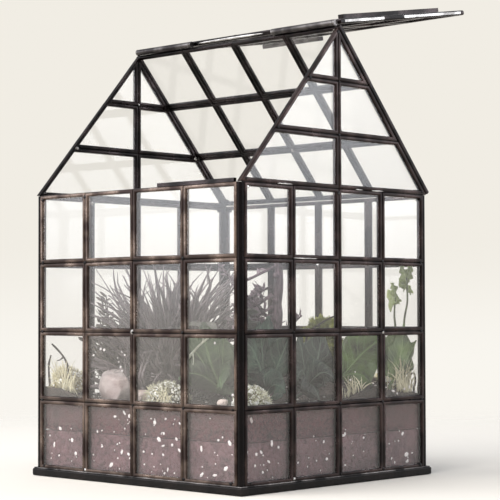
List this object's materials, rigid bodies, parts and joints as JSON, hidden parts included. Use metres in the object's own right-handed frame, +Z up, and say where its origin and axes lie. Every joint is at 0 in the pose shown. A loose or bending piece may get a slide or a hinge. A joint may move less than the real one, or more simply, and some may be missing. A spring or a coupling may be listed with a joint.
{
  "type": "glass plant terrarium",
  "caption": "House-shaped glass terrarium of square panes edged with dark metal came, with a hinged roof slope standing open over a bed of soil, stones, moss, leafy plants and driftwood.",
  "frame": {"origin": "middle of the tray's underside, on the surface that the house stands on", "axes": "+X along the ridge to the right, +Y from the front wall, under the opening slope, to the back wall, +Z up"},
  "size_m": [0.203, 0.2379, 0.3339],
  "materials": {
    "came": "dark bronze patina, satin",
    "solder": "black patina over solder, semi-gloss",
    "bright_metal": "dull bare metal",
    "tray_metal": "black patina, satin",
    "glass": "clear, polished",
    "grit": "coarse light grit with white grains",
    "earth": "crumbly brown soil with white grains",
    "rock": "rough pinkish stone",
    "pale_stone": "smooth pale pebble",
    "olive_moss": "matte olive moss",
    "pale_moss": "matte pale speckled moss",
    "green_moss": "matte green moss",
    "dark_blade": "dark grey-green leaf",
    "fern_green": "dull grey-green leaf",
    "broad_green": "smooth green leaf",
    "blue_green": "smooth blue-green leaf",
    "seedling_green": "thin yellow-green leaf",
    "bark": "weathered purple-brown driftwood",
    "twig_bark": "dark dry twig",
    "pale_bark": "pale dry stem"
  },
  "bodies": {
    "house": {"base_tray": "tray_metal", "floor_pane": "glass", "front_wall_cames": "came", "front_wall_glass": "glass", "back_wall_cames": "came", "back_wall_glass": "glass", "left_wall_cames": "came", "left_wall_glass": "glass", "right_wall_cames": "came", "right_wall_glass": "glass", "left_gable_cames": "came", "left_gable_glass": "glass", "right_gable_cames": "came", "right_gable_glass": "glass", "back_slope_cames": "came", "back_slope_glass": "glass", "corner_bead_back_right": "solder", "corner_bead_back_left": "solder", "corner_bead_front_left": "solder", "corner_bead_front_right": "solder", "eave_strip": "came", "hinge_wire_left": "bright_metal", "hinge_wire_right": "bright_metal", "drainage_layer": "grit", "soil_layer": "earth", "rock_large": "rock", "pebble_bed": "rock", "pebble_front": "pale_stone", "pebble_corner": "pale_stone", "pebble_right": "pale_stone", "moss_left": "olive_moss", "moss_front": "pale_moss", "moss_corner": "pale_moss", "moss_mound": "green_moss", "moss_right": "olive_moss", "grass_clump": "dark_blade", "fern_sprig": "fern_green", "driftwood": "bark", "twig_left": "twig_bark", "twig_corner": "twig_bark", "twig_right": "twig_bark", "runner": "twig_bark", "pale_stem": "pale_bark", "leaf_front": "broad_green", "leaf_bright": "broad_green", "leaf_wavy": "broad_green", "leaf_corner": "blue_green", "leaf_dark": "blue_green", "leaf_arch_right": "blue_green", "leaf_arch_left": "dark_blade", "seedling_tall": "seedling_green", "seedling_short": "seedling_green"},
    "lid": {"lid_cames": "came", "lid_glass": "glass", "lid_finger_tab": "bright_metal", "lid_side_strip": "came", "hinge_tube_left": "bright_metal", "hinge_tube_right": "bright_metal"}
  },
  "joints": [
    {"name": "lid_hinge", "type": "hinge", "parent": "house", "child": "lid", "pos_m": [0, 0, 0.30817], "axis": [1, 0, 0], "range_deg": [0, 219]}
  ]
}
